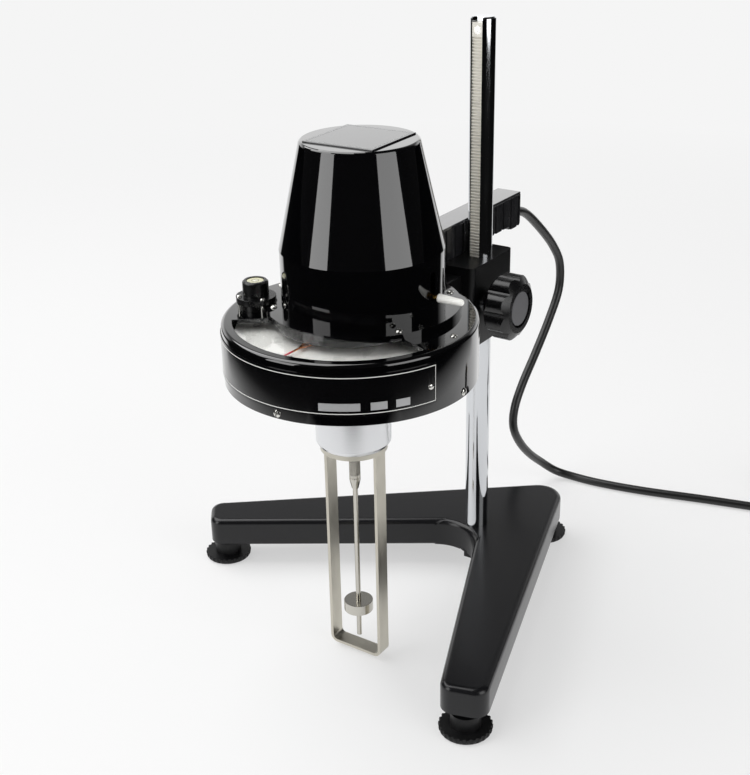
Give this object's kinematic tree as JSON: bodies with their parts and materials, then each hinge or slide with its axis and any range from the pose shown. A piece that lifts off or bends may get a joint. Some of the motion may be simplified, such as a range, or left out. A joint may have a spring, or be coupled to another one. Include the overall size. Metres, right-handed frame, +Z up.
{
  "type": "rotational viscometer",
  "caption": "Dial rotational viscometer: a round motor head with a guarded spindle, raised by rack and pinion on a column with a V-shaped base on levelling feet.",
  "frame": {"origin": "middle of the footprint, on the table under the levelling feet", "axes": "+Z up along the column; the head reaches out from the column along -Y; the height knob is on +X"},
  "size_m": [0.4253, 0.5427, 0.39],
  "materials": {
    "gloss_black": "glossy black stove enamel",
    "cast_black": "black enamel on cast iron, satin",
    "foot_black": "blackened knurled steel",
    "column_steel": "polished chrome plate",
    "rack_steel": "bare machined steel, lightly oiled",
    "fastener": "nickel plated",
    "black_screw": "blackened steel",
    "knob_black": "moulded black phenolic",
    "cap_grey": "grey insert",
    "window_clear": "clear acrylic",
    "nameplate_black": "black anodised plate with a pale border",
    "boss_chrome": "turned and chromed",
    "guard_steel": "stainless strip",
    "brass": "machined brass",
    "level_black": "moulded black",
    "vial_cream": "bull's-eye level",
    "dial_white": "white enamel with black ticks",
    "pointer_copper": "copper coloured blade with a red tip",
    "spindle_steel": "stainless",
    "motor_grey": "die-cast motor housing",
    "sleeve_white": "white plastic sleeve",
    "handle_black": "black painted ribbed aluminium",
    "handle_grey": "black painted cover that reflects the sky",
    "cord_black": "black PVC",
    "plug_black": "moulded black plug",
    "pin_brass": "plated brass pins"
  },
  "bodies": {
    "stand": {"base_casting": "cast_black", "column": "column_steel", "rack": "rack_steel", "rack_screws": "fastener", "column_washer": "fastener", "column_nut": "fastener"},
    "head": {"clamp_block": "gloss_black", "head_bracket": "gloss_black", "bracket_screws": "black_screw", "pinion_bush": "boss_chrome", "housing_shell": "gloss_black", "housing_floor": "gloss_black", "housing_screws": "fastener", "dial_window": "window_clear", "window_screws": "fastener", "nameplate": "nameplate_black", "nameplate_rivets": "fastener", "boss_collar": "boss_chrome", "lower_bearing": "brass", "spindle_guard": "guard_steel", "cap_ring": "gloss_black", "ring_screws": "fastener", "motor_cover": "gloss_black", "top_plate": "nameplate_black", "level_mount": "level_black", "level_vial": "vial_cream", "level_screws": "fastener", "gear_plate_lower": "brass", "gear_plate_upper": "brass", "plate_pillars": "fastener", "motor_body": "motor_grey", "handle_body": "handle_black", "handle_cover": "handle_grey", "strain_relief": "cord_black", "cord": "cord_black", "cord_coil": "cord_black", "plug_body": "plug_black", "plug_pins": "pin_brass"},
    "foot_left": {"foot_left": "foot_black"},
    "foot_right": {"foot_right": "foot_black"},
    "foot_rear": {"foot_rear": "foot_black"},
    "pinion": {"pinion_shaft": "fastener", "height_knob": "knob_black", "knob_cap": "cap_grey"},
    "tension": {"tension_screw": "fastener"},
    "motor_rotor": {"motor_pinion": "brass"},
    "layshaft": {"layshaft_gears": "brass"},
    "dial": {"dial_drive": "brass", "dial_plate": "dial_white"},
    "spindle": {"hairspring": "fastener", "pointer": "pointer_copper", "pivot_shaft": "spindle_steel", "spindle_coupling": "spindle_steel", "spindle": "spindle_steel"},
    "lever": {"lever_arm": "brass", "lever_sleeve": "sleeve_white"},
    "speed_knob": {"speed_knob": "knob_black"},
    "power_switch": {"power_switch": "knob_black"}
  },
  "joints": [
    {"name": "head_lift", "type": "slide", "parent": "stand", "child": "head", "axis": [0, 0, 1], "range_m": [0, 0.15]},
    {"name": "pinion_spin", "type": "hinge", "parent": "head", "child": "pinion", "pos_m": [0.05879, 0.05007, 0.211], "axis": [1, 0, 0], "range_deg": [-2400, 2400]},
    {"name": "tension_turn", "type": "hinge", "parent": "head", "child": "tension", "pos_m": [0.00879, 0.06117, 0.211], "axis": [1, 0, 0], "continuous": true},
    {"name": "foot_left_turn", "type": "hinge", "parent": "stand", "child": "foot_left", "pos_m": [-0.12494, -0.02247, 0.02], "axis": [0, 0, 1], "continuous": true},
    {"name": "foot_right_turn", "type": "hinge", "parent": "stand", "child": "foot_right", "pos_m": [0.12494, -0.10125, 0.02], "axis": [0, 0, 1], "continuous": true},
    {"name": "foot_rear_turn", "type": "hinge", "parent": "stand", "child": "foot_rear", "pos_m": [0.05984, 0.12793, 0.02], "axis": [0, 0, 1], "continuous": true},
    {"name": "dial_turn", "type": "hinge", "parent": "head", "child": "dial", "pos_m": [0.02529, -0.06823, 0.235], "axis": [0, 0, -1], "continuous": true},
    {"name": "layshaft_turn", "type": "hinge", "parent": "head", "child": "layshaft", "pos_m": [0.04187, -0.06123, 0.25], "axis": [0, 0, -1], "continuous": true},
    {"name": "motor_turn", "type": "hinge", "parent": "head", "child": "motor_rotor", "pos_m": [0.02529, -0.05423, 0.26], "axis": [0, 0, -1], "continuous": true},
    {"name": "spindle_deflect", "type": "hinge", "parent": "dial", "child": "spindle", "pos_m": [0.02529, -0.06823, 0.16], "axis": [0, 0, 1], "range_deg": [0, 300], "stiffness_Nm_per_rad": 0.000013, "deforming": ["hairspring"]},
    {"name": "lever_tilt", "type": "hinge", "parent": "head", "child": "lever", "pos_m": [0.05989, -0.05453, 0.252], "axis": [-0.0087, -1, 0], "range_deg": [0, 12]},
    {"name": "speed_select", "type": "hinge", "parent": "head", "child": "speed_knob", "pos_m": [-0.02769, -0.02606, 0.254], "axis": [-0.8829, 0.4695, 0], "range_deg": [0, 270]},
    {"name": "power_rock", "type": "hinge", "parent": "head", "child": "power_switch", "pos_m": [0.01909, 0.08517, 0.248], "axis": [0, 0, 1], "range_deg": [-8, 8]}
  ],
  "couplings": [
    {"joint": "pinion_spin", "follows": "head_lift", "rad_per_m": -224.4},
    {"joint": "layshaft_turn", "follows": "dial_turn", "ratio": -2.75},
    {"joint": "motor_turn", "follows": "dial_turn", "ratio": 7.5625}
  ]
}
